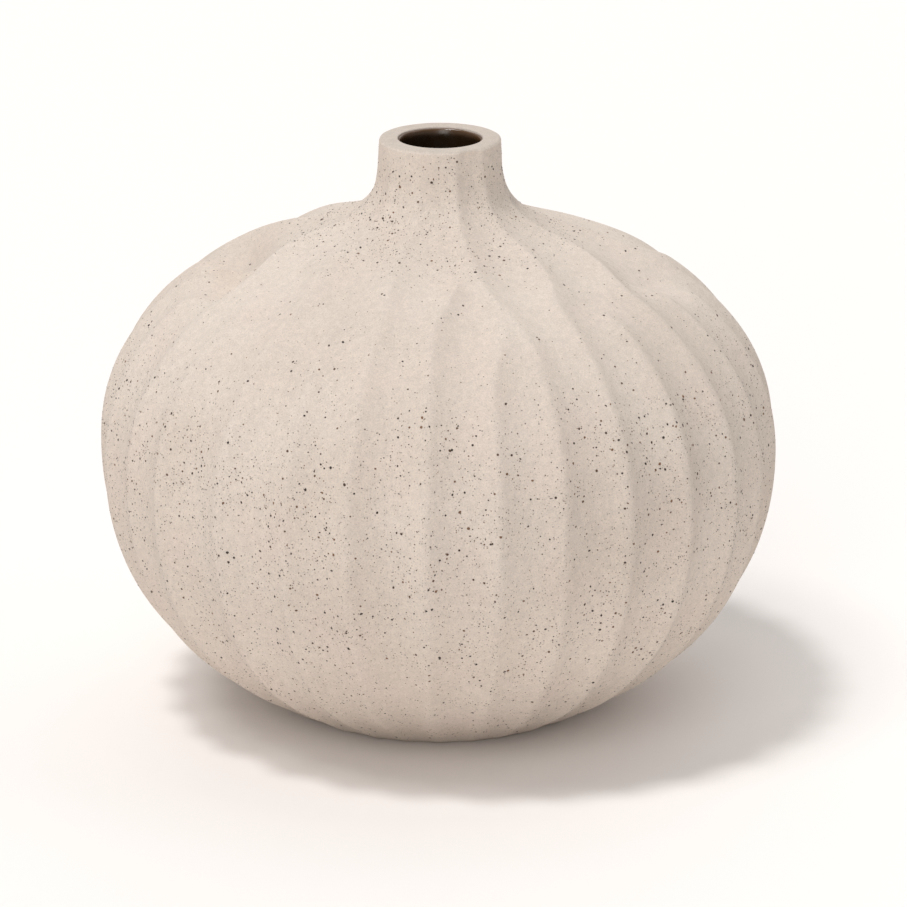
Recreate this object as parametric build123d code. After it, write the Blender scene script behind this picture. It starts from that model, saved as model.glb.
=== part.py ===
"""Stoneware vase: a round clay bulb with hand-carved flutes, a short neck and a glazed inside.

It has two fired layers. The clay shell is thrown and carved in one piece, and a thin brown glaze
lines its hollow. Millimetres, +Z up. The origin is the centre of the foot, on the surface that
the vase stands on. The front faces -Y, and angles round the vase grow from the front towards +X.
"""

import math
import os

from build123d import *

# Driving dimensions of the thrown form, over the ridges
total_height = 138.0
bulb_radius = 80.5
bulb_middle = 63.0  # height of the widest line
shoulder_rise = 56.1  # widest line to the top of the full shoulder curve
shoulder_fullness = 2.2  # 2 is an ellipse, more is squarer
shoulder_lean = 0.012  # slope by which mid-shoulder leans down to the right
root_lean = 0.018  # and the root of the neck, at this share of the shoulder's rise
root_lean_level = 0.93
root_lean_spread = 0.09
belly_drop = 67.9  # widest line to the bottom of the full belly curve, below the foot
belly_fullness = 2.12
neck_root_radius = 34.5  # where the neck's sweep leaves the shoulder
neck_root_reach = 20.0  # how far the sweep keeps the shoulder's slope
rim_reach = 14.2  # and the rim's
rim_lean = 0.8  # the neck widens this much over the rim's reach
rim_radius = 14.5
neck_offset = 0.5  # the neck stands a little to one side of the bulb

# The hollow
mouth_radius = 9.4
glaze_thickness = 0.5
glaze_below_rim = 0.6
wall = 7.0  # at the widest line, before carving
floor_thickness = 7.0
shoulder_thickness = 6.0
hollow_fullness = 2.2
hollow_turn_radius = 17.0  # where the hollow's roof turns up into the mouth
hollow_turn_rise = 7.0

# The foot and rim
foot_radius = 34.8
foot_rise = 5.2  # floor to where the foot's edge has run into the belly
foot_recess_radius = 26.0
foot_recess_depth = 1.8
rim_bevel = 0.8

# The carving. A scoop is what a round blade takes out between two ridges.
blade_radius = 20.0
shoulder_scoop_share = 0.5  # wide scoops on the shoulder and neck are cut this much shallower
rim_scoop_share = 0.15  # and run out towards the rim
foot_scoop_share = 0.6  # every scoop is cut this much shallower on the floor
foot_scoop_height = 12.0  # and is full from this height up
foot_twist = 2.5  # degrees by which the ridges swing to the right at the foot
foot_twist_height = 20.0
usual_swing = 52.0  # shoulder radius where a ridge starts to swing from bulb to neck angle
early_swings = {-2: 56.0, 10: 70.0, 21: 60.0}  # and where these do, by bulb angle
swing_length = 24.0  # a ridge swings over this much radius
fade_length = 12.0  # a fading ridge sinks into the shoulder over this much radius
closest_ridges = 0.5  # degrees kept between two ridges that draw together

# Each ridge: its angle on the bulb, its angle on the neck, and the shoulder radius where it has
# faded out, or 0 where it runs up to the rim.
ridges = [
    (-64, -80, 0), (-54, -64, 46), (-39, -49, 0), (-26, -34, 44), (-15, -19, 0),
    (-2, 8, 30), (10, 18, 42), (21, 14, 0), (33, 44, 0), (46, 59, 48),
    (59, 75, 0), (70, 83, 45), (83, 93, 50), (95, 104, 0), (108, 119, 46),
    (120, 134, 0), (133, 144, 48), (145, 154, 42), (158, 164, 0), (170, 178, 47),
    (182, 192, 0), (195, 202, 45), (208, 212, 50), (220, 222, 0), (233, 237, 46),
    (245, 251, 0), (257, 258, 48), (270, 265, 44), (283, 273, 50),
]
scoop_points = 5  # points across one scoop, its two ridges included


def smooth_step(value):
    """Rise from 0 to 1 with level ends."""
    value = min(1.0, max(0.0, value))
    return value * value * (3 - 2 * value)


def superellipse(radius, rise, fullness, turn):
    """Point on a quarter superellipse: turn 0 is the widest point, pi/2 is on the axis."""
    power = 2 / fullness
    return radius * math.cos(turn) ** power, rise * math.sin(turn) ** power


def superellipse_turn(share, fullness):
    """Turn at which the quarter curve has risen to this share of its full rise."""
    return math.asin(share ** (fullness / 2))


def unit(r, z):
    """The direction (r, z) at length 1."""
    length = math.hypot(r, z)
    return r / length, z / length


def curve_normal(radius, rise, fullness, r, z):
    """Outward direction of a quarter superellipse at (r, z), with z counted from its middle."""
    return unit((r / radius) ** (fullness - 1) / radius, (z / rise) ** (fullness - 1) / rise)


def curve_station(pull, weights, slopes):
    """The station on a Bezier curve where its pull points have these weights and slopes."""
    r, z = (sum(w * p[axis] for w, p in zip(weights, pull)) for axis in (0, 1))
    along_r, along_z = (sum(s * p[axis] for s, p in zip(slopes, pull)) for axis in (0, 1))
    return (r, z, *unit(along_z, -along_r))


def belly_stations(steps):
    """Foot to widest line: each station is (radius, height, outward r, outward z)."""
    foot_turn = superellipse_turn((bulb_middle - foot_rise) / belly_drop, belly_fullness)
    stations = []
    for step in range(steps):
        turn = foot_turn * (1 - step / steps)
        r, drop = superellipse(bulb_radius, belly_drop, belly_fullness, turn)
        out_r, out_down = curve_normal(bulb_radius, belly_drop, belly_fullness, r, drop)
        stations.append((r, bulb_middle - drop, out_r, -out_down))
    return stations


def shoulder_stations(steps):
    """Widest line to the root of the neck."""
    root_turn = math.acos((neck_root_radius / bulb_radius) ** (shoulder_fullness / 2))
    stations = []
    for step in range(steps + 1):
        turn = root_turn * step / steps
        r, rise = superellipse(bulb_radius, shoulder_rise, shoulder_fullness, turn)
        out = curve_normal(bulb_radius, shoulder_rise, shoulder_fullness, r, rise)
        stations.append((r, bulb_middle + rise, *out))
    return stations


def neck_stations(root, steps):
    """The neck's sweep, a cubic curve from the shoulder up to the rim, without its root."""
    root_r, root_z, out_r, out_z = root
    pull = [
        (root_r, root_z),
        (root_r - neck_root_reach * out_z, root_z + neck_root_reach * out_r),
        (rim_radius + rim_lean, total_height - rim_reach),
        (rim_radius, total_height),
    ]
    stations = []
    for step in range(1, steps + 1):
        t = step / steps
        weights = ((1 - t) ** 3, 3 * t * (1 - t) ** 2, 3 * t * t * (1 - t), t**3)
        slopes = (-((1 - t) ** 2), (1 - t) * (1 - 3 * t), t * (2 - 3 * t), t * t)
        stations.append(curve_station(pull, weights, slopes))
    return stations


def shoulder_tilt(z):
    """Slope by which the ring at this height leans: none at the widest line or at the rim."""
    level = (z - bulb_middle) / shoulder_rise
    share = min(1.0, max(0.0, level))
    at_root = math.exp(-(((level - root_lean_level) / root_lean_spread) ** 2))
    return shoulder_lean * 4 * share * (1 - share) + root_lean * at_root


def ridge_angles(r, z):
    """The ridges' angles, in degrees, on the ring of this radius and height."""
    if z < bulb_middle:
        twist = foot_twist * max(0.0, 1 - z / foot_twist_height) ** 2
        return [bulb + twist for bulb, neck, fade in ridges]
    angles = []
    for bulb, neck, fade in ridges:
        swing = smooth_step((early_swings.get(bulb, usual_swing) - r) / swing_length)
        angles.append(bulb + (neck - bulb) * swing)
    following = angles[1:] + [angles[0] + 360]
    return [min(angle, after - closest_ridges) for angle, after in zip(angles, following)]


def ridge_strengths(r, z):
    """1 where a ridge stands full, 0 where it has faded into the shoulder."""
    if z < bulb_middle:
        return [1.0] * len(ridges)
    return [smooth_step((r - fade) / fade_length) if fade else 1.0 for bulb, neck, fade in ridges]


def lasting_neighbours(index):
    """The nearest ridges on each side of this scoop that run up to the rim."""
    left, right = index, index + 1
    while ridges[left % len(ridges)][2]:
        left -= 1
    while ridges[right % len(ridges)][2]:
        right += 1
    return left, right


def scoop_depth(width_angle, r, out_r):
    """Depth of a scoop under the ring over its ridges, at the scoop's middle."""
    width = math.radians(width_angle) * r
    return width**2 / 8 * (1 / blade_radius + out_r / r)


def full_turns(angles, index):
    """The angle of a ridge whose index may run past either end of the list."""
    return angles[index % len(ridges)] + 360 * (index // len(ridges))


def carved_ring(station):
    """One list of points for each scoop round the ring, from ridge to ridge."""
    r, z, out_r, out_z = station
    angles = ridge_angles(r, z)
    strengths = ridge_strengths(r, z)
    rise = smooth_step((z - bulb_middle) / (total_height - bulb_middle))
    wide_share = shoulder_scoop_share + (rim_scoop_share - shoulder_scoop_share) * rise
    centre_x = neck_offset * smooth_step((z - bulb_middle) / shoulder_rise)
    tilt = shoulder_tilt(z)
    above_foot = smooth_step(z / foot_scoop_height)
    cut = foot_scoop_share + (1 - foot_scoop_share) * above_foot
    scoops = []
    for index in range(len(ridges)):
        left, right = lasting_neighbours(index)
        start, end = full_turns(angles, index), full_turns(angles, index + 1)
        wide_start, wide_end = full_turns(angles, left), full_turns(angles, right)
        near, far = strengths[index], strengths[(index + 1) % len(ridges)]
        if left == index:
            near = far
        if right == index + 1:
            far = near
        narrow = scoop_depth(end - start, r, out_r) * cut
        wide = scoop_depth(wide_end - wide_start, r, out_r) * wide_share
        points = []
        for step in range(scoop_points):
            u = step / (scoop_points - 1)
            angle = start + (end - start) * u
            across = (angle - wide_start) / (wide_end - wide_start)
            strength = near + (far - near) * u
            depth = strength * narrow * 4 * u * (1 - u)
            depth += (1 - strength) * wide * 4 * across * (1 - across)
            turn = math.radians(angle)
            ring_r = r - depth * out_r
            x = centre_x + ring_r * math.sin(turn)
            level = z - depth * out_z - tilt * x
            points.append((x, -ring_r * math.cos(turn), level))
        scoops.append(points)
    return scoops


def ring_wire(station):
    """The closed outline of one carved ring, one curve for each scoop."""
    return Wire([Edge.make_spline([Vector(*p) for p in scoop]) for scoop in carved_ring(station)])


def carved_form():
    """The solid outer form, from foot to rim."""
    belly = belly_stations(6)
    shoulder = shoulder_stations(7)
    neck = neck_stations(shoulder[-1], 5)
    # The floor's ring and the rim's are cut level, so that both ends stay flat.
    foot = (foot_radius, 0.0, 1.0, 0.0)
    neck[-1] = (*neck[-1][:2], 1.0, 0.0)
    stations = [foot] + belly + shoulder + neck
    return Solid.make_loft([ring_wire(station) for station in stations])


def rim_bevel_ring():
    """The ring that takes a 45-degree bevel off the outer edge of the rim."""
    reach = 3 * rim_bevel
    corner = (rim_radius - rim_bevel, total_height)
    outer = (rim_radius + reach, total_height)
    side = (rim_radius + reach, total_height - rim_bevel - reach)
    return revolve(make_face(Plane.XZ * Polyline(corner, outer, side, close=True)), Axis.Z)


def hollow_form(inset):
    """The solid that fills the hollow, shrunk by an inset, up past the rim."""
    radius = bulb_radius - wall - inset
    rise = shoulder_rise - shoulder_thickness - inset
    drop = bulb_middle - floor_thickness - inset
    mouth = mouth_radius + glaze_thickness - inset
    turn_radius = hollow_turn_radius - inset
    steps = 8
    roof_turn = math.acos((turn_radius / radius) ** (hollow_fullness / 2))
    points = []
    for step in range(steps):
        turn = math.pi / 2 * (1 - step / steps)
        r, depth = superellipse(radius, drop, hollow_fullness, turn)
        points.append((r, bulb_middle - depth))
    for step in range(steps + 1):
        r, height = superellipse(radius, rise, hollow_fullness, roof_turn * step / steps)
        points.append((r, bulb_middle + height))
    out_r, out_z = curve_normal(radius, rise, hollow_fullness, r, height)
    roof = points[-1]
    shell = Spline(*points, tangents=[(1, 0), (-out_z, out_r)])
    under_mouth = (mouth, roof[1] + (turn_radius - mouth) * out_r / out_z)
    mouth_foot = (mouth, roof[1] + hollow_turn_rise)
    throat = Bezier(roof, under_mouth, mouth_foot)
    top = total_height + 1
    sides = Polyline(mouth_foot, (mouth, top), (0, top), points[0])
    profile = make_face(Plane.XZ * (shell + throat + sides))
    return Pos(neck_offset, 0, 0) * revolve(profile, Axis.Z)


def stoneware_body():
    """The carved clay shell, with its hollow and the shallow recess under its foot."""
    body = carved_form() - hollow_form(0)
    body -= Pos(neck_offset, 0, 0) * rim_bevel_ring()
    body -= Cylinder(foot_recess_radius, foot_recess_depth * 2)
    return body


def interior_glaze():
    """The glaze on the whole hollow, from just under the rim."""
    lining = hollow_form(0) - hollow_form(glaze_thickness)
    bare = Cylinder(2 * mouth_radius, glaze_below_rim * 4)
    return lining - Pos(neck_offset, 0, total_height + glaze_below_rim) * bare


def main():
    os.makedirs("parts", exist_ok=True)
    pieces = {"stoneware_body": stoneware_body(), "interior_glaze": interior_glaze()}
    for name, piece in pieces.items():
        piece.label = name
        export_step(piece, f"parts/{name}.step")
        print(name, len(piece.solids()), round(piece.volume), piece.bounding_box())


main()
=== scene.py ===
import math

import bpy
import numpy as np
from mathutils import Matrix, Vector


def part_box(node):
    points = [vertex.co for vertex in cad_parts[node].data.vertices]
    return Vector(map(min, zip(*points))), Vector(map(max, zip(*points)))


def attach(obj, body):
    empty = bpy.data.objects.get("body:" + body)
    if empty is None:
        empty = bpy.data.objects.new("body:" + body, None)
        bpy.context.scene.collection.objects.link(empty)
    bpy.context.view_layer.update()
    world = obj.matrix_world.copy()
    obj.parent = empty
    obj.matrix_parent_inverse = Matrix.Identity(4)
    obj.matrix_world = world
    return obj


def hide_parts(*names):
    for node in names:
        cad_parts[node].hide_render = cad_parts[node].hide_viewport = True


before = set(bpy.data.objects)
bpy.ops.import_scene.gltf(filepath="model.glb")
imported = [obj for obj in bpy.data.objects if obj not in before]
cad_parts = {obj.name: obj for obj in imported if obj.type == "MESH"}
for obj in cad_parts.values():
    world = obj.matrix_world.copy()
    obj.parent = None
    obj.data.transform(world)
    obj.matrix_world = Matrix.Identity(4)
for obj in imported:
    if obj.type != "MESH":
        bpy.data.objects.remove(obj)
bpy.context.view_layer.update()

# The vase is one carved clay shell, raw outside, with a brown glaze poured into its hollow.
# Metres, +Z up, the front faces -Y. Angles round the vase grow from the front towards +X.

MM = 0.001

# Thrown form, over the ridges. Its height and the hollow come from the CAD nodes' boxes.
GLAZE_LOW, GLAZE_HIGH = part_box("interior_glaze")
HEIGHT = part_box("stoneware_body")[1].z
BULB_RADIUS = 80.5 * MM
BULB_MIDDLE = 63 * MM
SHOULDER_RISE = 56.1 * MM
SHOULDER_FULLNESS = 2.2
# Slope by which mid-shoulder leans down towards +X, and by which the neck's root does as well,
# around this share of the shoulder's rise.
SHOULDER_LEAN = 0.012
ROOT_LEAN = 0.018
ROOT_LEAN_LEVEL = 0.93
ROOT_LEAN_SPREAD = 0.09
BELLY_DROP = 67.9 * MM
BELLY_FULLNESS = 2.12
NECK_ROOT_RADIUS = 34.5 * MM
NECK_ROOT_REACH = 20 * MM
RIM_REACH = 14.2 * MM
RIM_LEAN = 0.8 * MM
RIM_RADIUS = 14.5 * MM
NECK_OFFSET = (GLAZE_LOW.x + GLAZE_HIGH.x) / 2
RIM_ROUND = 0.9 * MM
MOUTH_ROUND = 0.35 * MM
GLAZE_BELOW_RIM = 0.3 * MM

# The hollow
HOLLOW_RADIUS = (GLAZE_HIGH.x - GLAZE_LOW.x) / 2
HOLLOW_FLOOR = GLAZE_LOW.z
HOLLOW_ROOF = BULB_MIDDLE + SHOULDER_RISE - 6 * MM
HOLLOW_FULLNESS = 2.2
HOLLOW_TURN_RADIUS = 17 * MM
HOLLOW_TURN_RISE = 7 * MM
BORE_RADIUS = 9.9 * MM
GLAZE_THICKNESS = 0.5 * MM

# The foot
FOOT_RADIUS = 36.3 * MM
FOOT_ROUND = 1.0 * MM
FOOT_RISE = 5.2 * MM
FOOT_RECESS_RADIUS = 26 * MM
FOOT_RECESS_DEPTH = 1.8 * MM
UNDERSIDE_SOFTNESS = 0.5 * MM

# The carving. A wide scoop runs between two ridges that reach the rim, and shows where the
# ridges between them have faded. It is cut to these shares of its depth.
BLADE_RADIUS = 20 * MM
WIDE_SCOOP_SHARE = 0.65
NECK_SCOOP_SHARE = 0.7
NECK_SCOOP_START = 30 * MM
NECK_SCOOP_LENGTH = 13 * MM
RIM_SCOOP_SHARE = 0.12
RIM_SCOOP_START = 13 * MM
RIM_SCOOP_LENGTH = 11 * MM
FOOT_SCOOP_SHARE = 0.6
FOOT_SCOOP_HEIGHT = 12 * MM
FOOT_TWIST = 2.5
FOOT_TWIST_HEIGHT = 20 * MM
SWING_LENGTH = 24 * MM
FADE_LENGTH = 12 * MM
CLOSEST_RIDGES = 0.5

# Each ridge: its angle on the bulb, its angle on the neck, and the shoulder radius in
# millimetres where it has faded out, or 0 where it runs up to the rim.
RIDGES = [
    (-64, -80, 0), (-54, -64, 46), (-39, -49, 0), (-26, -34, 44), (-15, -19, 0),
    (-2, 8, 30), (10, 18, 42), (21, 14, 0), (33, 44, 0), (46, 59, 48),
    (59, 75, 0), (70, 83, 45), (83, 93, 50), (95, 104, 0), (108, 119, 46),
    (120, 134, 0), (133, 144, 48), (145, 154, 42), (158, 164, 0), (170, 178, 47),
    (182, 192, 0), (195, 202, 45), (208, 212, 50), (220, 222, 0), (233, 237, 46),
    (245, 251, 0), (257, 258, 48), (270, 265, 44), (283, 273, 50),
]
# Ridges that swing towards their neck angle sooner, by bulb angle: start radius in millimetres
EARLY_SWINGS = {-2: 56, 10: 70, 21: 60}
USUAL_SWING = 52
SCOOP_COLUMNS = 18

BULB_ANGLES = np.array([bulb for bulb, neck, fade in RIDGES], float)
NECK_ANGLES = np.array([neck for bulb, neck, fade in RIDGES], float)
FADES = np.array([fade for bulb, neck, fade in RIDGES], float) * MM
SWING_STARTS = np.array([EARLY_SWINGS.get(bulb, USUAL_SWING) for bulb, neck, fade in RIDGES]) * MM


# ---------------------------------------------------------------- outlines


def smooth_step(value):
    """Rises from 0 to 1 with level ends."""
    value = np.clip(value, 0, 1)
    return value * value * (3 - 2 * value)


def quarter_curve(radius, rise, fullness, turns):
    """Radius, rise and outward direction at each turn of a quarter superellipse."""
    r = radius * np.cos(turns) ** (2 / fullness)
    z = rise * np.sin(turns) ** (2 / fullness)
    out_r = (r / radius) ** (fullness - 1) / radius
    out_z = (z / rise) ** (fullness - 1) / rise
    length = np.hypot(out_r, out_z)
    return r, z, out_r / length, out_z / length


def rows(r, z, out_r, out_z, carve, side):
    """Outline rows: radius, height, outward r and z, share of the carving, sideways shift."""
    return np.column_stack(np.broadcast_arrays(r, z, out_r, out_z, carve, side))


def foot_rows(top, count):
    """From the floor, out round the foot's soft edge and up into the belly."""
    top_r, top_z, out_r, out_z = top[:4]
    wall_r = top_r + top_z * out_z / out_r
    pulls = np.array([(FOOT_RADIUS - FOOT_ROUND, 0), (max(wall_r, FOOT_RADIUS), 0), (top_r, top_z)])
    t = np.arange(count) / count
    place = np.column_stack([(1 - t) ** 2, 2 * t * (1 - t), t * t]) @ pulls
    along = np.column_stack([1 - t, t]) @ np.diff(pulls, axis=0)
    along /= np.linalg.norm(along, axis=1, keepdims=True)
    foot = rows(place[:, 0], place[:, 1], along[:, 1], -along[:, 0], 1, 0)
    foot[0, 2:4] = 1, 0
    return foot


def belly_rows(count):
    """From the top of the foot to the widest line."""
    foot_turn = math.asin(((BULB_MIDDLE - FOOT_RISE) / BELLY_DROP) ** (BELLY_FULLNESS / 2))
    turns = foot_turn * (1 - np.arange(count) / count)
    r, drop, out_r, out_down = quarter_curve(BULB_RADIUS, BELLY_DROP, BELLY_FULLNESS, turns)
    return rows(r, BULB_MIDDLE - drop, out_r, -out_down, 1, 0)


def shoulder_rows(count):
    """From the widest line to the root of the neck."""
    root_turn = math.acos((NECK_ROOT_RADIUS / BULB_RADIUS) ** (SHOULDER_FULLNESS / 2))
    turns = root_turn * np.arange(count + 1) / count
    curve = quarter_curve(BULB_RADIUS, SHOULDER_RISE, SHOULDER_FULLNESS, turns)
    r, rise, out_r, out_z = curve
    side = NECK_OFFSET * smooth_step(rise / SHOULDER_RISE)
    return rows(r, BULB_MIDDLE + rise, out_r, out_z, 1, side)


def shoulder_tilt(z):
    """Slope by which a ring at this height leans: most at the neck's root, none at the rim."""
    level = (z - BULB_MIDDLE) / SHOULDER_RISE
    share = np.clip(level, 0, 1)
    at_root = np.exp(-(((level - ROOT_LEAN_LEVEL) / ROOT_LEAN_SPREAD) ** 2))
    return SHOULDER_LEAN * 4 * share * (1 - share) + ROOT_LEAN * at_root


def neck_rows(root, count):
    """The neck's sweep, a cubic curve from the shoulder to just under the rim's rounding."""
    root_r, root_z, out_r, out_z = root[:4]
    pulls = np.array([
        (root_r, root_z),
        (root_r - NECK_ROOT_REACH * out_z, root_z + NECK_ROOT_REACH * out_r),
        (RIM_RADIUS + RIM_LEAN, HEIGHT - RIM_REACH),
        (RIM_RADIUS, HEIGHT),
    ])
    round_share = RIM_ROUND / (3 * RIM_REACH)
    t = (np.arange(count) + 1) / count * (1 - round_share)
    weights = np.column_stack([(1 - t) ** 3, 3 * t * (1 - t) ** 2, 3 * t * t * (1 - t), t**3])
    slopes = np.column_stack([-((1 - t) ** 2), (1 - t) * (1 - 3 * t), t * (2 - 3 * t), t * t])
    place, along = weights @ pulls, slopes @ pulls
    along /= np.linalg.norm(along, axis=1, keepdims=True)
    return rows(place[:, 0], place[:, 1], along[:, 1], -along[:, 0], 1, NECK_OFFSET)


def rim_rows(top, count):
    """Over the rim: a rounded outer edge, a flat top and a rounded mouth."""
    edge_r, edge_z = top[:2]
    round_up = HEIGHT - edge_z
    turns = np.arange(1, count + 1) / count * math.pi / 2
    outer_r = edge_r - round_up * (1 - np.cos(turns))
    outer_z = edge_z + round_up * np.sin(turns)
    outer = rows(outer_r, outer_z, 1, 0, 1 - 0.5 * np.sin(turns), NECK_OFFSET)
    inner_edge = BORE_RADIUS + MOUTH_ROUND
    flat_r = np.linspace(outer_r[-1], inner_edge, 5)[1:-1]
    flat = rows(flat_r, HEIGHT, 1, 0, [0.25, 0, 0], NECK_OFFSET)
    turns = np.arange(count + 1) / count * math.pi / 2
    inner_r = inner_edge - MOUTH_ROUND * np.sin(turns)
    inner_z = HEIGHT - MOUTH_ROUND * (1 - np.cos(turns))
    inner = rows(inner_r, inner_z, 1, 0, 0, NECK_OFFSET)
    return np.vstack([outer, flat, inner])


def hollow_rows(inset, top, counts):
    """Down the inside wall, from the mouth to the middle of the floor, which is left out."""
    bore_count, throat_count, wall_count = counts
    radius = HOLLOW_RADIUS - inset
    rise = HOLLOW_ROOF - BULB_MIDDLE - inset
    drop = BULB_MIDDLE - HOLLOW_FLOOR - inset
    mouth = BORE_RADIUS - inset
    turn_radius = HOLLOW_TURN_RADIUS - inset
    roof_turn = math.acos((turn_radius / radius) ** (HOLLOW_FULLNESS / 2))
    turns = roof_turn * (1 - np.arange(wall_count) / wall_count)
    upper_r, upper_z, out_r, out_z = quarter_curve(radius, rise, HOLLOW_FULLNESS, turns)
    roof = np.array([upper_r[0], BULB_MIDDLE + upper_z[0]])
    under_mouth = np.array([mouth, roof[1] + (turn_radius - mouth) * out_r[0] / out_z[0]])
    mouth_foot = np.array([mouth, roof[1] + HOLLOW_TURN_RISE])
    bore_z = np.linspace(top, mouth_foot[1], bore_count + 1)[:-1]
    bore = rows(mouth, bore_z, 1, 0, 0, NECK_OFFSET)
    t = (np.arange(throat_count) / throat_count)[:, None]
    throat = (1 - t) ** 2 * mouth_foot + 2 * t * (1 - t) * under_mouth + t * t * roof
    throat = rows(throat[:, 0], throat[:, 1], 1, 0, 0, NECK_OFFSET)
    upper = rows(upper_r, BULB_MIDDLE + upper_z, 1, 0, 0, NECK_OFFSET)
    turns = math.pi / 2 * np.arange(wall_count) / wall_count
    lower_r, lower_z = quarter_curve(radius, drop, HOLLOW_FULLNESS, turns)[:2]
    lower = rows(lower_r, BULB_MIDDLE - lower_z, 1, 0, 0, NECK_OFFSET)
    return np.vstack([bore, throat, upper, lower])


def underside_rows(foot):
    """From the recess under the foot, out over the ring that it stands on."""
    foot_r = foot[0]
    soft = UNDERSIDE_SOFTNESS
    recess_r = [8 * MM, 20 * MM, FOOT_RECESS_RADIUS - soft]
    recess = rows(recess_r, FOOT_RECESS_DEPTH, 1, 0, 0, 0)
    step_z = [FOOT_RECESS_DEPTH - soft, soft]
    step = rows(FOOT_RECESS_RADIUS, step_z, 1, 0, 0, 0)
    ring_r = [FOOT_RECESS_RADIUS + soft, (FOOT_RECESS_RADIUS + foot_r) / 2, foot_r - 3 * soft]
    ring = rows(ring_r, 0, 1, 0, [0, 0, 0.5], 0)
    return np.vstack([recess, step, ring])


# ---------------------------------------------------------------- carving layout


def ridge_layout(r, z):
    """Ridge angles in degrees and ridge strengths on the ring of this radius and height."""
    if z < BULB_MIDDLE:
        twist = FOOT_TWIST * max(0.0, 1 - z / FOOT_TWIST_HEIGHT) ** 2
        return BULB_ANGLES + twist, np.ones(len(RIDGES))
    swing = smooth_step((SWING_STARTS - r) / SWING_LENGTH)
    angles = BULB_ANGLES + (NECK_ANGLES - BULB_ANGLES) * swing
    following = np.append(angles[1:], angles[0] + 360)
    strengths = np.where(FADES > 0, smooth_step((r - FADES) / FADE_LENGTH), 1)
    return np.minimum(angles, following - CLOSEST_RIDGES), strengths


def lasting_ridges():
    """For each scoop, the nearest ridges on its two sides that run up to the rim."""
    count = len(RIDGES)
    pairs = []
    for index in range(count):
        left, right = index, index + 1
        while FADES[left % count]:
            left -= 1
        while FADES[right % count]:
            right += 1
        pairs.append((left, right))
    return np.array(pairs)


def scoop_depth(width, r, out_r):
    """How deep the blade goes, at a scoop's middle, under the ring over its ridges."""
    return width**2 / 8 * (1 / BLADE_RADIUS + out_r / r)


def wide_share(r, z):
    """A wide scoop's share of its depth: a little more on the neck, and running out at the rim."""
    onto_neck = smooth_step((NECK_SCOOP_START - r) / NECK_SCOOP_LENGTH)
    share = WIDE_SCOOP_SHARE + (NECK_SCOOP_SHARE - WIDE_SCOOP_SHARE) * onto_neck
    to_rim = smooth_step((z - HEIGHT + RIM_SCOOP_START) / RIM_SCOOP_LENGTH)
    return share + (RIM_SCOOP_SHARE - share) * to_rim * onto_neck


def carving_row(row, pairs):
    """The carving's values at every column of one row."""
    r, z, out_r, out_z, carve, side = row
    count = len(RIDGES)
    angles, strengths = ridge_layout(r, z)
    unrolled = np.concatenate([angles - 360, angles, angles + 360])
    index = np.arange(count)
    start, end = unrolled[index + count], unrolled[index + count + 1]
    wide_start, wide_end = unrolled[pairs[:, 0] + count], unrolled[pairs[:, 1] + count]
    near, far = strengths[index], strengths[(index + 1) % count]
    left_lasts, right_lasts = pairs[:, 0] == index, pairs[:, 1] == index + 1
    near, far = np.where(left_lasts, far, near), np.where(right_lasts, near, far)
    width = np.radians(end - start) * r
    wide_width = np.radians(wide_end - wide_start) * r
    above_foot = smooth_step(z / FOOT_SCOOP_HEIGHT)
    carve = carve * (FOOT_SCOOP_SHARE + (1 - FOOT_SCOOP_SHARE) * above_foot)
    across = np.arange(SCOOP_COLUMNS) / SCOOP_COLUMNS
    angle = start[:, None] + (end - start)[:, None] * across
    every = np.ones_like(angle)
    depth = scoop_depth(width, r, out_r) * carve
    wide_depth = scoop_depth(wide_width, r, out_r) * wide_share(r, z) * carve
    return {
        "angle": angle,
        "scoop_across": across * every,
        "scoop_width": width[:, None] * every,
        "scoop_depth": depth[:, None] * every,
        "wide_across": (angle - wide_start[:, None]) / (wide_end - wide_start)[:, None],
        "wide_width": wide_width[:, None] * every,
        "wide_depth": wide_depth[:, None] * every,
        "ridge_strength": near[:, None] + (far - near)[:, None] * across,
    }


# ---------------------------------------------------------------- meshes


def ring_faces(row_count, columns):
    """Quads between rows of a lathe grid whose columns close round."""
    row, column = np.meshgrid(np.arange(row_count - 1), np.arange(columns), indexing="ij")
    following = (column + 1) % columns
    corners = [row * columns + column, row * columns + following,
               (row + 1) * columns + following, (row + 1) * columns + column]
    return np.stack(corners, -1).reshape(-1, 4)


def lathe_mesh(name, grid, first_pole, last_pole):
    """A closed mesh from a grid of points, with a pole before its first row and after its last."""
    row_count, columns = grid.shape[:2]
    points = np.vstack([grid.reshape(-1, 3), first_pole, last_pole])
    first, last = len(points) - 2, len(points) - 1
    faces = ring_faces(row_count, columns).tolist()
    end = (row_count - 1) * columns
    for column in range(columns):
        following = (column + 1) % columns
        faces.append((first, following, column))
        faces.append((end + column, end + following, last))
    mesh = bpy.data.meshes.new(name)
    mesh.from_pydata(points.tolist(), [], faces)
    mesh.polygons.foreach_set("use_smooth", np.ones(len(mesh.polygons), bool))
    return mesh


def store(mesh, name, values, kind="FLOAT"):
    """Keeps one value, or one vector, for each point of a mesh under a name."""
    layer = mesh.attributes.new(name, kind, "POINT")
    layer.data.foreach_set("vector" if kind == "FLOAT_VECTOR" else "value", np.ravel(values))


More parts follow.
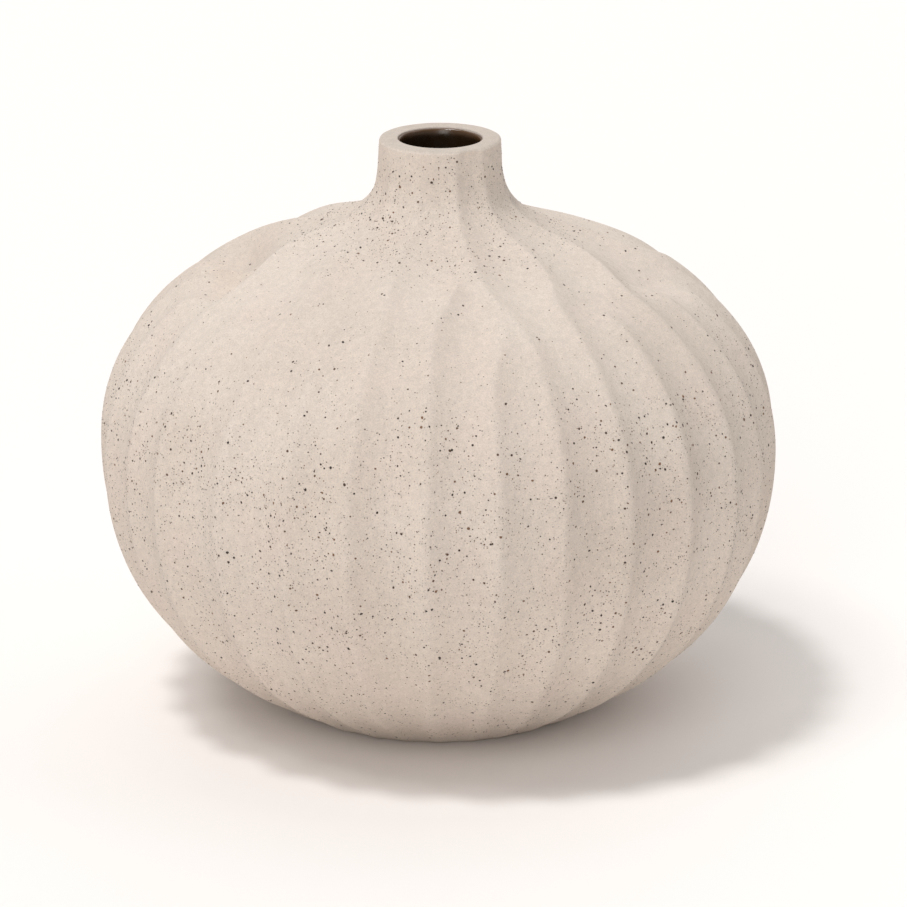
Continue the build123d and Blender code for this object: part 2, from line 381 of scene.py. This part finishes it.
def thrown_shell():
    """The shell before carving, with the carving's layout kept on its points."""
    belly = belly_rows(44)
    belly = np.vstack([foot_rows(belly[0], 7), belly])
    shoulder = shoulder_rows(44)
    neck = neck_rows(shoulder[-1], 26)
    rim = rim_rows(neck[-1], 5)
    hollow = hollow_rows(0, rim[-1, 1] - 1 * MM, (4, 5, 9))
    underside = underside_rows(belly[0])
    outline = np.vstack([underside, belly, shoulder, neck, rim, hollow])
    pairs = lasting_ridges()
    first_carved = len(underside)
    last_carved = len(underside) + len(belly) + len(shoulder) + len(neck) + len(rim)
    foot_row, rim_row = outline[first_carved], outline[last_carved - 1]
    layouts = []
    for number, row in enumerate(outline):
        if number < first_carved:
            layout = carving_row(foot_row, pairs)
            layout["scoop_depth"] = layout["scoop_depth"] * row[4]
        elif number >= last_carved:
            layout = carving_row(rim_row, pairs)
        else:
            layout = carving_row(row, pairs)
        layout["unevenness"] = np.full_like(layout["angle"], row[4])
        layouts.append({key: value.ravel() for key, value in layout.items()})
    angle = np.radians([layout["angle"] for layout in layouts])
    r, z, out_r, out_z, carve, side = (column[:, None] for column in outline.T)
    across = side + r * np.sin(angle)
    grid = np.stack([across, -r * np.cos(angle), z - shoulder_tilt(z) * across], -1)
    outward = np.stack([out_r * np.sin(angle), -out_r * np.cos(angle), out_z + 0 * angle], -1)
    under_pole = (0, 0, FOOT_RECESS_DEPTH)
    floor_pole = (NECK_OFFSET, 0, HOLLOW_FLOOR)
    mesh = lathe_mesh("thrown_shell", grid, under_pole, floor_pole)
    pole_values = [0, 0]
    pole_directions = [(0, 0, -1), (0, 0, 1)]
    for key in layouts[0]:
        if key != "angle":
            values = np.concatenate([layout[key] for layout in layouts] + [pole_values])
            store(mesh, key, values)
    directions = np.vstack([outward.reshape(-1, 3), *pole_directions])
    store(mesh, "outward", directions, "FLOAT_VECTOR")
    return mesh


def glaze_mesh():
    """The poured lining: a thin closed skin on the hollow, with a slightly wandering top edge."""
    columns = 180
    edge = HEIGHT - GLAZE_BELOW_RIM
    outer = hollow_rows(0, edge, (10, 8, 18))[::-1]
    inner = hollow_rows(GLAZE_THICKNESS, edge - 0.35 * MM, (10, 8, 18))
    bead_r = BORE_RADIUS - GLAZE_THICKNESS * np.array([0.35, 0.75])
    bead = rows(bead_r, edge - np.array([0.03, 0.15]) * MM, 1, 0, 0, NECK_OFFSET)
    outline = np.vstack([outer, bead, inner])
    turn = np.arange(columns) / columns * math.tau
    wander = 0.06 * np.sin(2 * turn + 0.6) + 0.05 * np.sin(5 * turn) + 0.03 * np.sin(9 * turn + 2)
    lowered = (wander.max() - wander) * MM
    r, z, side = outline[:, 0:1], outline[:, 1:2], outline[:, 5:6]
    near_edge = np.clip((z - edge + 6 * MM) / (6 * MM), 0, 1)
    level = z - near_edge * lowered
    grid = np.stack([side + r * np.sin(turn), -r * np.cos(turn), level], -1)
    under_pole = (NECK_OFFSET, 0, HOLLOW_FLOOR)
    floor_pole = (NECK_OFFSET, 0, HOLLOW_FLOOR + GLAZE_THICKNESS)
    return lathe_mesh("interior_glaze", grid, under_pole, floor_pole)


# ---------------------------------------------------------------- geometry node helpers


def new_tree(name, inputs):
    """A geometry tree with these named inputs after its geometry: (name, socket kind, value)."""
    tree = bpy.data.node_groups.new(name, "GeometryNodeTree")
    tree.interface.new_socket("Geometry", in_out="INPUT", socket_type="NodeSocketGeometry")
    for label, kind, value in inputs:
        socket = tree.interface.new_socket(label, in_out="INPUT", socket_type=kind)
        if value is not None:
            socket.default_value = value
    tree.interface.new_socket("Geometry", in_out="OUTPUT", socket_type="NodeSocketGeometry")
    return tree, tree.nodes.new("NodeGroupInput"), tree.nodes.new("NodeGroupOutput")


def feed(tree, socket, value):
    """Links a socket to another socket, or sets it to a plain value."""
    if isinstance(value, bpy.types.NodeSocket):
        tree.links.new(value, socket)
    else:
        socket.default_value = value


def maths(tree, operation, *values):
    """A sum, product or other operation on these sockets or plain values."""
    node = tree.nodes.new("ShaderNodeMath")
    node.operation = operation
    for socket, value in zip(node.inputs, values):
        feed(tree, socket, value)
    return node.outputs[0]


def scaled(tree, vector, factor):
    """A vector, or a colour, times a factor."""
    node = tree.nodes.new("ShaderNodeVectorMath")
    node.operation = "SCALE"
    feed(tree, node.inputs[0], vector)
    feed(tree, node.inputs["Scale"], factor)
    return node.outputs[0]


def kept(tree, name, kind="FLOAT"):
    """The value that the mesh keeps under this name."""
    node = tree.nodes.new("GeometryNodeInputNamedAttribute")
    node.data_type = kind
    node.inputs["Name"].default_value = name
    return node.outputs["Attribute"]


def moved(tree, geometry, offset):
    """The geometry with every point moved by its own offset."""
    node = tree.nodes.new("GeometryNodeSetPosition")
    feed(tree, node.inputs["Geometry"], geometry)
    feed(tree, node.inputs["Offset"], offset)
    return node.outputs["Geometry"]


def end_tree(tree, geometry, material, group_output):
    """Realize Instances and Set Material, as every tree ends."""
    realize = tree.nodes.new("GeometryNodeRealizeInstances")
    feed(tree, realize.inputs["Geometry"], geometry)
    finish = tree.nodes.new("GeometryNodeSetMaterial")
    feed(tree, finish.inputs["Geometry"], realize.outputs["Geometry"])
    feed(tree, finish.inputs["Material"], material)
    feed(tree, group_output.inputs[0], finish.outputs["Geometry"])


def grown(name, mesh, tree, settings):
    """A new object with the plain mesh that a tree makes from this one."""
    source = bpy.data.objects.new(name + "_source", mesh)
    bpy.context.scene.collection.objects.link(source)
    modifier = source.modifiers.new("tree", "NODES")
    modifier.node_group = tree
    identifiers = {item.name: item.identifier for item in tree.interface.items_tree
                   if item.in_out == "INPUT"}
    for label, value in settings.items():
        modifier[identifiers[label]] = value
    depsgraph = bpy.context.evaluated_depsgraph_get()
    evaluated = source.evaluated_get(depsgraph)
    result = bpy.data.meshes.new_from_object(
        evaluated, preserve_all_data_layers=True, depsgraph=depsgraph)
    result.name = name
    bpy.data.objects.remove(source)
    return placed(name, result)


def placed(name, mesh):
    """A new object in the scene with this mesh."""
    piece = bpy.data.objects.new(name, mesh)
    bpy.context.scene.collection.objects.link(piece)
    return piece


# ---------------------------------------------------------------- carving tree


def soft_scoop(tree, across, width, softness):
    """A scoop's share of its depth: 0 on the soft ridges at its sides, 1 at its middle."""
    other_side = maths(tree, "SUBTRACT", 1.0, across)
    from_ridge = maths(tree, "MULTIPLY", maths(tree, "MINIMUM", across, other_side), width)
    square = maths(tree, "MULTIPLY", softness, softness)

    def softened(distance):
        root = maths(tree, "SQRT", maths(tree, "MULTIPLY_ADD", distance, distance, square))
        return maths(tree, "SUBTRACT", root, softness)

    half = softened(maths(tree, "MULTIPLY", width, 0.5))
    safe_half = maths(tree, "MAXIMUM", half, 1e-9)
    inward = maths(tree, "MULTIPLY", maths(tree, "DIVIDE", softened(from_ridge), safe_half), 0.5)
    rest = maths(tree, "SUBTRACT", 1.0, inward)
    return maths(tree, "MULTIPLY", maths(tree, "MULTIPLY", inward, rest), 4.0)


def carving_tree():
    """Cuts the scoops into the thrown shell, and then its slight hand-made unevenness."""
    tree, given, result = new_tree("carve_flutes", [
        ("Cut", "NodeSocketFloat", 1.0),
        ("Ridge Softness", "NodeSocketFloat", 1 * MM),
        ("Unevenness", "NodeSocketFloat", 0.2 * MM),
        ("Unevenness Size", "NodeSocketFloat", 20 * MM),
        ("Seed", "NodeSocketFloat", 0.0),
        ("Clay", "NodeSocketMaterial", None),
    ])
    softness = given.outputs["Ridge Softness"]
    narrow = soft_scoop(tree, kept(tree, "scoop_across"), kept(tree, "scoop_width"), softness)
    wide = soft_scoop(tree, kept(tree, "wide_across"), kept(tree, "wide_width"), softness)
    narrow_depth = maths(tree, "MULTIPLY", narrow, kept(tree, "scoop_depth"))
    wide_depth = maths(tree, "MULTIPLY", wide, kept(tree, "wide_depth"))
    strength = kept(tree, "ridge_strength")
    weakness = maths(tree, "SUBTRACT", 1.0, strength)
    depth = maths(tree, "MULTIPLY_ADD", narrow_depth, strength,
                  maths(tree, "MULTIPLY", wide_depth, weakness))
    depth = maths(tree, "MULTIPLY", depth, given.outputs["Cut"])
    noise = tree.nodes.new("ShaderNodeTexNoise")
    noise.noise_dimensions = "4D"
    noise.inputs["Detail"].default_value = 2.0
    feed(tree, noise.inputs["W"], given.outputs["Seed"])
    feed(tree, noise.inputs["Scale"], maths(tree, "DIVIDE", 1.0, given.outputs["Unevenness Size"]))
    hand = maths(tree, "MULTIPLY", noise.outputs[0], given.outputs["Unevenness"])
    depth = maths(tree, "MULTIPLY_ADD", hand, kept(tree, "unevenness"), depth)
    inward = maths(tree, "MULTIPLY", depth, -1.0)
    offset = scaled(tree, kept(tree, "outward", "FLOAT_VECTOR"), inward)
    carved = moved(tree, given.outputs["Geometry"], offset)
    end_tree(tree, carved, given.outputs["Clay"], result)
    return tree


# ---------------------------------------------------------------- materials


def new_material(name):
    """A material with its node tree, its shader and the object's own coordinates."""
    material = bpy.data.materials.new(name)
    material.use_nodes = True
    tree = material.node_tree
    shader = tree.nodes["Principled BSDF"]
    coords = tree.nodes.new("ShaderNodeTexCoord").outputs["Object"]
    return material, tree, shader, coords


def noise(tree, coords, size, detail=2.0, roughness=0.5):
    """Soft noise whose features are about this size, in metres."""
    node = tree.nodes.new("ShaderNodeTexNoise")
    feed(tree, node.inputs["Vector"], coords)
    node.inputs["Scale"].default_value = 1 / size
    node.inputs["Detail"].default_value = detail
    node.inputs["Roughness"].default_value = roughness
    return node.outputs[0]


def remap(tree, value, low, high, to_low=0.0, to_high=1.0):
    """Smoothly carries low..high over to to_low..to_high."""
    node = tree.nodes.new("ShaderNodeMapRange")
    node.interpolation_type = "SMOOTHSTEP"
    for label, given in zip(("Value", "From Min", "From Max", "To Min", "To Max"),
                            (value, low, high, to_low, to_high)):
        feed(tree, node.inputs[label], given)
    return node.outputs[0]


def mix(tree, factor, first, second):
    """From the first colour to the second by this factor."""
    node = tree.nodes.new("ShaderNodeMix")
    node.data_type = "RGBA"
    feed(tree, node.inputs[0], factor)
    feed(tree, node.inputs[6], first)
    feed(tree, node.inputs[7], second)
    return node.outputs[2]


def height_above(tree, coords):
    """Height over the floor, in metres."""
    node = tree.nodes.new("ShaderNodeSeparateXYZ")
    feed(tree, node.inputs[0], coords)
    return node.outputs["Z"]


def by_height(tree, height, stops):
    """A value that runs through these stops, each a height in millimetres and a value."""
    ramp = tree.nodes.new("ShaderNodeValToRGB")
    feed(tree, ramp.inputs[0], maths(tree, "DIVIDE", height, HEIGHT))
    elements = ramp.color_ramp.elements
    while len(elements) < len(stops):
        elements.new(0.5)
    for element, (level, value) in zip(elements, stops):
        element.position = level * MM / HEIGHT
        element.color = (value, value, value, 1)
    return ramp.outputs[0]


def specks(tree, coords, cell, smallest, largest, presence):
    """Round specks, one at most in each cell, of radii between these shares of the cell.

    Returns how much a point lies in a speck, and the speck's own random value."""
    node = tree.nodes.new("ShaderNodeTexVoronoi")
    node.voronoi_dimensions = "3D"
    node.feature = "F1"
    feed(tree, node.inputs["Vector"], coords)
    node.inputs["Scale"].default_value = 1 / cell
    split = tree.nodes.new("ShaderNodeSeparateColor")
    feed(tree, split.inputs[0], node.outputs["Color"])
    chance, tone = split.outputs[0], split.outputs[1]
    grow = maths(tree, "POWER", split.outputs[2], 2.0)
    radius = maths(tree, "MULTIPLY_ADD", grow, largest - smallest, smallest)
    there = maths(tree, "LESS_THAN", chance, presence)
    inside = remap(tree, maths(tree, "DIVIDE", node.outputs["Distance"], radius), 1.0, 0.55)
    return maths(tree, "MULTIPLY", inside, there), tone


# Iron specks: their share of full density at each height in millimetres
SPECK_STOPS = [
    (1, 0.0), (2, 0.2), (8, 0.45), (25, 0.8), (40, 0.9), (84, 0.9), (96, 0.25), (112, 0.08),
    (116, 0.9), (130, 1.0), (135.5, 0.9), (137, 0.0),
]

CLAY_LIGHT = (0.700, 0.612, 0.535, 1)
CLAY_SHADE = (0.655, 0.566, 0.490, 1)
CLAY_PINK = (0.690, 0.585, 0.512, 1)
SPECK_RUST = (0.20, 0.105, 0.055, 1)
SPECK_DARK = (0.055, 0.035, 0.025, 1)
SPECK_BLACK = (0.035, 0.022, 0.016, 1)
GLAZE_THICK = (0.014, 0.008, 0.004, 1)
GLAZE_POOLED = (0.036, 0.018, 0.008, 1)
GLAZE_THIN = (0.11, 0.05, 0.016, 1)
FLOOR_PALE = (0.93, 0.895, 0.87, 1)

# The rim's flat top is coloured a shade darker, from this far down.
RIM_TOP_DARKER_DEPTH = 0.45 * MM
RIM_TOP_DARKER_TONE = 0.85


def stoneware():
    """Raw buff stoneware: soft cloudy tone, fine sand, and iron specks in drifts."""
    material, tree, shader, coords = new_material("raw_stoneware")
    height = height_above(tree, coords)
    cloud = noise(tree, coords, 38 * MM, 3.0)
    blush = noise(tree, coords, 15 * MM, 4.0)
    mottle = noise(tree, coords, 1.6 * MM, 4.0, 0.6)
    sand = noise(tree, coords, 0.32 * MM, 2.0)
    colour = mix(tree, remap(tree, cloud, 0.35, 0.65), CLAY_SHADE, CLAY_LIGHT)
    colour = mix(tree, remap(tree, blush, 0.45, 0.72, 0.0, 0.6), colour, CLAY_PINK)
    tint = remap(tree, mottle, 0.25, 0.75, 0.94, 1.045)
    tint = maths(tree, "MULTIPLY", tint, remap(tree, sand, 0.25, 0.75, 0.91, 1.08))
    # The rim's flat top is coloured a shade darker.
    rim_top_darkening = remap(tree, height, HEIGHT - RIM_TOP_DARKER_DEPTH, HEIGHT - 0.1 * MM, 1.0, RIM_TOP_DARKER_TONE)
    tint = maths(tree, "MULTIPLY", tint, rim_top_darkening)
    colour = scaled(tree, colour, tint)

    drift = noise(tree, coords, 11 * MM, 3.0, 0.6)
    room = by_height(tree, height, SPECK_STOPS)
    fine_room = maths(tree, "MULTIPLY", remap(tree, drift, 0.35, 0.65, 0.4, 1.0), room)
    broad_room = maths(tree, "MULTIPLY", remap(tree, drift, 0.4, 0.62, 0.2, 1.0), room)
    fine, fine_tone = specks(tree, coords, 0.62 * MM, 0.18, 0.33, fine_room)
    broad, broad_tone = specks(tree, coords, 1.1 * MM, 0.12, 0.19, broad_room)
    fine_colour = mix(tree, fine_tone, SPECK_RUST, SPECK_DARK)
    broad_colour = mix(tree, broad_tone, SPECK_RUST, SPECK_DARK)
    colour = mix(tree, maths(tree, "MULTIPLY", fine, 0.55), colour, fine_colour)
    colour = mix(tree, maths(tree, "MULTIPLY", broad, 0.85), colour, broad_colour)
    feed(tree, shader.inputs["Base Color"], colour)

    iron = maths(tree, "MAXIMUM", fine, broad)
    rough = remap(tree, mottle, 0.2, 0.8, 0.78, 0.92)
    feed(tree, shader.inputs["Roughness"], maths(tree, "MULTIPLY_ADD", iron, -0.2, rough))
    shader.inputs["Specular IOR Level"].default_value = 0.3
    relief = maths(tree, "MULTIPLY_ADD", sand, 0.5, mottle)
    relief = maths(tree, "MULTIPLY_ADD", iron, -0.5, relief)
    bump = tree.nodes.new("ShaderNodeBump")
    bump.inputs["Strength"].default_value = 0.5
    bump.inputs["Distance"].default_value = 0.10 * MM
    feed(tree, bump.inputs["Height"], relief)
    feed(tree, shader.inputs["Normal"], bump.outputs[0])
    return material


def brown_glaze():
    """Glossy iron glaze, nearly black where it lies thick and amber where it thins at its edge."""
    material, tree, shader, coords = new_material("brown_glaze")
    height = height_above(tree, coords)
    pool = noise(tree, coords, 9 * MM, 3.0)
    colour = mix(tree, pool, GLAZE_THICK, GLAZE_POOLED)
    thin = remap(tree, maths(tree, "MULTIPLY_ADD", pool, 0.8 * MM, height),
                 HEIGHT - 1.8 * MM, HEIGHT + 0.3 * MM)
    colour = mix(tree, thin, colour, GLAZE_THIN)
    feed(tree, shader.inputs["Base Color"], colour)
    rough = remap(tree, noise(tree, coords, 2 * MM), 0.3, 0.7, 0.20, 0.32)
    feed(tree, shader.inputs["Roughness"], rough)
    shader.inputs["Coat Weight"].default_value = 0.3
    shader.inputs["Coat Roughness"].default_value = 0.12
    bump = tree.nodes.new("ShaderNodeBump")
    bump.inputs["Strength"].default_value = 0.3
    bump.inputs["Distance"].default_value = 0.2 * MM
    feed(tree, bump.inputs["Height"], noise(tree, coords, 5 * MM))
    feed(tree, shader.inputs["Normal"], bump.outputs[0])
    return material


def iron():
    """Fused iron speck, dull and nearly black, some rusty."""
    material, tree, shader, coords = new_material("iron_speck")
    tone = tree.nodes.new("ShaderNodeAttribute")
    tone.attribute_name = "tone"
    colour = mix(tree, tone.outputs["Fac"], SPECK_BLACK, SPECK_RUST)
    feed(tree, shader.inputs["Base Color"], colour)
    rough = remap(tree, noise(tree, coords, 0.2 * MM), 0.3, 0.7, 0.45, 0.8)
    feed(tree, shader.inputs["Roughness"], rough)
    return material


def floor_finish():
    """Plain, pale and matt."""
    material, tree, shader, coords = new_material("floor_finish")
    shader.inputs["Base Color"].default_value = FLOOR_PALE
    shader.inputs["Roughness"].default_value = 0.9
    return material


# ---------------------------------------------------------------- iron specks


def speck_tree():
    """Scatters flat iron specks over a surface where it keeps room for them."""
    tree, given, result = new_tree("scatter_specks", [
        ("Density", "NodeSocketFloat", 50000.0),
        ("Smallest", "NodeSocketFloat", 0.15 * MM),
        ("Largest", "NodeSocketFloat", 0.45 * MM),
        ("Drift Size", "NodeSocketFloat", 14 * MM),
        ("Seed", "NodeSocketInt", 7),
        ("Iron", "NodeSocketMaterial", None),
    ])
    drift = tree.nodes.new("ShaderNodeTexNoise")
    drift.inputs["Detail"].default_value = 3.0
    feed(tree, drift.inputs["Scale"], maths(tree, "DIVIDE", 1.0, given.outputs["Drift Size"]))
    clustered = remap(tree, drift.outputs[0], 0.38, 0.62, 0.3, 0.9)
    scatter = tree.nodes.new("GeometryNodeDistributePointsOnFaces")
    scatter.distribute_method = "RANDOM"
    feed(tree, scatter.inputs["Mesh"], given.outputs["Geometry"])
    crowd = maths(tree, "MULTIPLY", clustered, kept(tree, "speck_room"))
    feed(tree, scatter.inputs["Density"], maths(tree, "MULTIPLY", given.outputs["Density"], crowd))
    feed(tree, scatter.inputs["Seed"], given.outputs["Seed"])
    blob = tree.nodes.new("GeometryNodeMeshIcoSphere")
    blob.inputs["Radius"].default_value = 1.0
    blob.inputs["Subdivisions"].default_value = 1
    chance = tree.nodes.new("FunctionNodeRandomValue")
    feed(tree, chance.inputs["Seed"], given.outputs["Seed"])
    skewed = maths(tree, "POWER", chance.outputs[1], 5.0)
    span = maths(tree, "SUBTRACT", given.outputs["Largest"], given.outputs["Smallest"])
    radius = maths(tree, "MULTIPLY_ADD", skewed, span, given.outputs["Smallest"])
    shape = tree.nodes.new("FunctionNodeRandomValue")
    shape.data_type = "FLOAT_VECTOR"
    shape.inputs[0].default_value = (0.75, 0.75, 0.22)
    shape.inputs[1].default_value = (1.2, 1.2, 0.34)
    scale = scaled(tree, shape.outputs[0], radius)
    spin = tree.nodes.new("FunctionNodeRotateRotation")
    spin.rotation_space = "LOCAL"
    feed(tree, spin.inputs["Rotation"], scatter.outputs["Rotation"])
    turn = tree.nodes.new("FunctionNodeRandomValue")
    turn.data_type = "FLOAT_VECTOR"
    turn.inputs[0].default_value = (0, 0, 0)
    turn.inputs[1].default_value = (0.2, 0.2, math.tau)
    feed(tree, spin.inputs["Rotate By"], turn.outputs[0])
    place = tree.nodes.new("GeometryNodeInstanceOnPoints")
    feed(tree, place.inputs["Points"], scatter.outputs["Points"])
    feed(tree, place.inputs["Instance"], blob.outputs["Mesh"])
    feed(tree, place.inputs["Rotation"], spin.outputs[0])
    feed(tree, place.inputs["Scale"], scale)
    sunk = tree.nodes.new("GeometryNodeTranslateInstances")
    feed(tree, sunk.inputs["Instances"], place.outputs["Instances"])
    depth = maths(tree, "MULTIPLY", radius, -0.16)
    down = tree.nodes.new("ShaderNodeCombineXYZ")
    feed(tree, down.inputs["Z"], depth)
    feed(tree, sunk.inputs["Translation"], down.outputs[0])
    toned = tree.nodes.new("GeometryNodeStoreNamedAttribute")
    toned.domain = "INSTANCE"
    toned.inputs["Name"].default_value = "tone"
    tone = tree.nodes.new("FunctionNodeRandomValue")
    tone.inputs["Seed"].default_value = 3
    feed(tree, toned.inputs["Geometry"], sunk.outputs["Instances"])
    feed(tree, toned.inputs["Value"], maths(tree, "POWER", tone.outputs[1], 2.0))
    end_tree(tree, toned.outputs["Geometry"], given.outputs["Iron"], result)
    return tree


def speck_room(height):
    """Share of the specks at this height: few by the foot and on the shoulder, none on the rim."""
    stops = np.array(SPECK_STOPS)
    return np.interp(height, stops[:, 0] * MM, stops[:, 1])


def keep_speck_room(mesh):
    """Room for specks: on the outside only."""
    count = len(mesh.vertices)
    places = np.empty(count * 3)
    mesh.vertices.foreach_get("co", places)
    places = places.reshape(-1, 3)
    outside = np.empty(count)
    mesh.attributes["unevenness"].data.foreach_get("value", outside)
    store(mesh, "speck_room", (outside > 0.9) * speck_room(places[:, 2]))


# ---------------------------------------------------------------- pieces


def dress(piece, slot, *nodes):
    """Fixes a piece to the vase, with the CAD nodes that it stands for; its finish slot is not
    used.
    """
    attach(piece, "root")
    if nodes:
        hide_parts(*nodes)


def forget(mesh, names):
    """Drops the working values that a finished mesh no longer needs."""
    for name in names:
        layer = mesh.attributes.get(name)
        if layer:
            mesh.attributes.remove(layer)


def make_shell():
    """The clay shell: thrown, then carved."""
    clay = stoneware()
    shell = grown("carved_shell", thrown_shell(), carving_tree(), {
        "Cut": 1.0,
        "Ridge Softness": 0.7 * MM,
        "Unevenness": 0.30 * MM,
        "Unevenness Size": 24 * MM,
        "Seed": 4.0,
        "Clay": clay,
    })
    keep_speck_room(shell.data)
    return shell


def make_specks(shell):
    """The larger iron specks, sunk in the clay."""
    return grown("iron_specks", shell.data.copy(), speck_tree(), {
        "Density": 420000.0,
        "Smallest": 0.15 * MM,
        "Largest": 0.38 * MM,
        "Drift Size": 13 * MM,
        "Seed": 11,
        "Iron": iron(),
    })


def make_glaze():
    """The glaze in the hollow."""
    glaze = placed("glaze_lining", glaze_mesh())
    glaze.data.materials.append(brown_glaze())
    return glaze


# ---------------------------------------------------------------- studio


def make_floor():
    """The surface that the vase stands on."""
    reach = 12.0
    mesh = bpy.data.meshes.new("floor")
    corners = [(-reach, -reach, 0), (reach, -reach, 0), (reach, reach, 0), (-reach, reach, 0)]
    mesh.from_pydata(corners, [], [(0, 1, 2, 3)])
    floor = placed("floor", mesh)
    mesh.materials.append(floor_finish())


def make_sun(name, azimuth, elevation, strength, spread):
    """A soft light from this side; azimuth 0 is the front, growing towards +X."""
    light = bpy.data.lights.new(name, "SUN")
    light.energy = strength
    light.angle = math.radians(spread)
    lamp = bpy.data.objects.new(name, light)
    turn, rise = math.radians(azimuth), math.radians(elevation)
    level = math.cos(rise)
    towards = Vector((math.sin(turn) * level, -math.cos(turn) * level, math.sin(rise)))
    lamp.rotation_mode = "QUATERNION"
    lamp.rotation_quaternion = towards.to_track_quat("Z", "Y")
    lamp.location = towards
    bpy.context.scene.collection.objects.link(lamp)


def make_world(strength):
    """An even white light from all round."""
    world = bpy.data.worlds.new("studio")
    world.use_nodes = True
    background = world.node_tree.nodes["Background"]
    background.inputs["Color"].default_value = (1, 1, 1, 1)
    background.inputs["Strength"].default_value = strength
    bpy.context.scene.world = world


def make_camera():
    """A long lens that looks down a little, aimed just beside and below the bulb's middle."""
    distance = 1.2
    elevation = math.radians(17.9)
    aim = Vector((3.6 * MM, 0, 60.2 * MM))
    data = bpy.data.cameras.new("camera")
    data.sensor_width = 36
    data.lens = 199.8
    data.clip_start = 0.05
    data.clip_end = 60
    camera = bpy.data.objects.new("camera", data)
    back = Vector((0, -math.cos(elevation), math.sin(elevation)))
    camera.location = Vector((0, 0, 64 * MM)) + back * distance
    camera.rotation_mode = "QUATERNION"
    camera.rotation_quaternion = (camera.location - aim).to_track_quat("Z", "Y")
    bpy.context.scene.collection.objects.link(camera)
    bpy.context.scene.camera = camera


# Studio lights: name, azimuth and elevation in degrees, strength, spread in degrees
LIGHTS = [
    ("key_light", -66, 74, 1.07, 9),
    ("upper_light", -66, 62, 0.50, 15),
    ("front_light", -15, 38, 0.49, 30),
    ("low_light", -10, 12, 0.41, 30),
    ("side_light", 90, 38, 0.16, 30),
    ("back_light", 168, 52, 0.84, 70),
]
AMBIENT_STRENGTH = 0.30


def make_studio():
    """The floor and the soft lights."""
    make_floor()
    make_world(AMBIENT_STRENGTH)
    for light in LIGHTS:
        make_sun(*light)
    bpy.context.scene.view_settings.view_transform = "Standard"


# ---------------------------------------------------------------- assembly

make_camera()
make_studio()

carved_shell = make_shell()
iron_specks = make_specks(carved_shell)
glaze_lining = make_glaze()
forget(carved_shell.data, [
    "scoop_across", "scoop_width", "scoop_depth", "wide_across", "wide_width", "wide_depth",
    "ridge_strength", "unevenness", "outward", "speck_room",
])

dress(carved_shell, "raw_stoneware", "stoneware_body")
dress(glaze_lining, "brown_glaze", "interior_glaze")
dress(iron_specks, "iron_speck")
